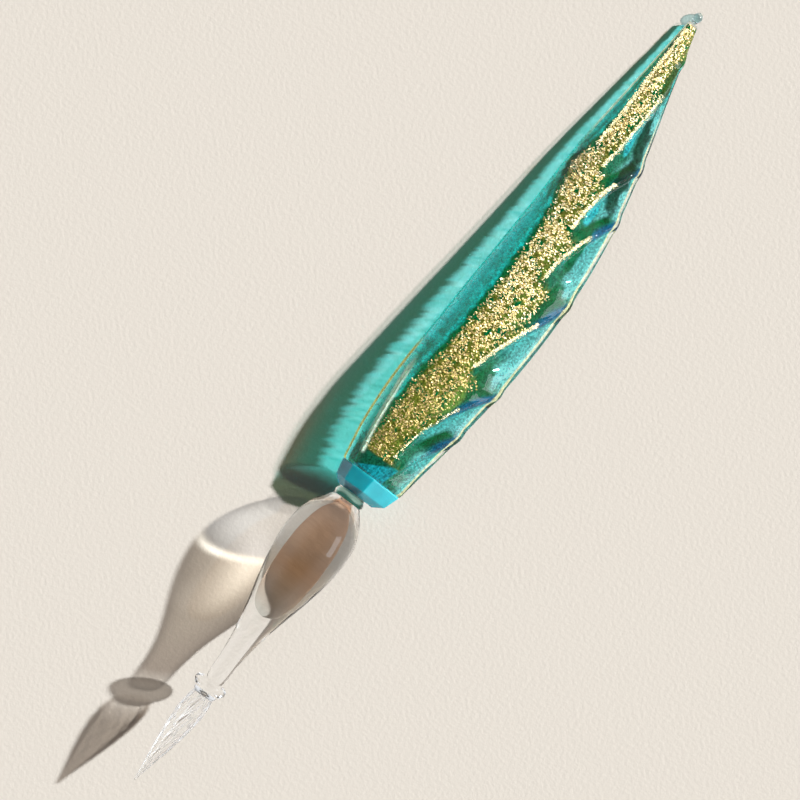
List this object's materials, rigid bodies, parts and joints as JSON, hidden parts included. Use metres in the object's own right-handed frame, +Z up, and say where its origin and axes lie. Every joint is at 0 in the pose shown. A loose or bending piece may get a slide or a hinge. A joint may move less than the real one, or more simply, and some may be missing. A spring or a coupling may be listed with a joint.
{
  "type": "glass dip pen",
  "caption": "Lampworked glass dip pen lying at rest: spirally fluted clear nib, teardrop grip and a flattened, leaf-shaped turquoise handle with gold leaf under clear glass.",
  "frame": {"origin": "middle of the pen's footprint, on the surface it lies on", "axes": "+X along the pen from the nib's point to the tail, +Z up, -Y towards the handle's serrated edge"},
  "size_m": [0.1796, 0.0198, 0.0137],
  "materials": {
    "clear_glass": "fire-polished clear glass",
    "smoke_glass": "smoke-brown cased glass",
    "turquoise_glass": "polished turquoise glass",
    "dark_green_glass": "dense dark green glass",
    "gold_leaf": "crinkled gold metal leaf",
    "aqua_glass": "deep turquoise-aqua glass",
    "casing_glass": "fire-polished clear casing glass with an aqua tinge"
  },
  "bodies": {
    "root": {"nib": "clear_glass", "nib_collar": "clear_glass", "grip_body": "clear_glass", "bulb_core": "smoke_glass", "neck_bead": "clear_glass", "front_plug": "turquoise_glass", "core_rod": "dark_green_glass", "handle_body": "aqua_glass", "gold_leaf": "gold_leaf", "handle_casing": "casing_glass", "tail_finial": "clear_glass"}
  },
  "joints": []
}
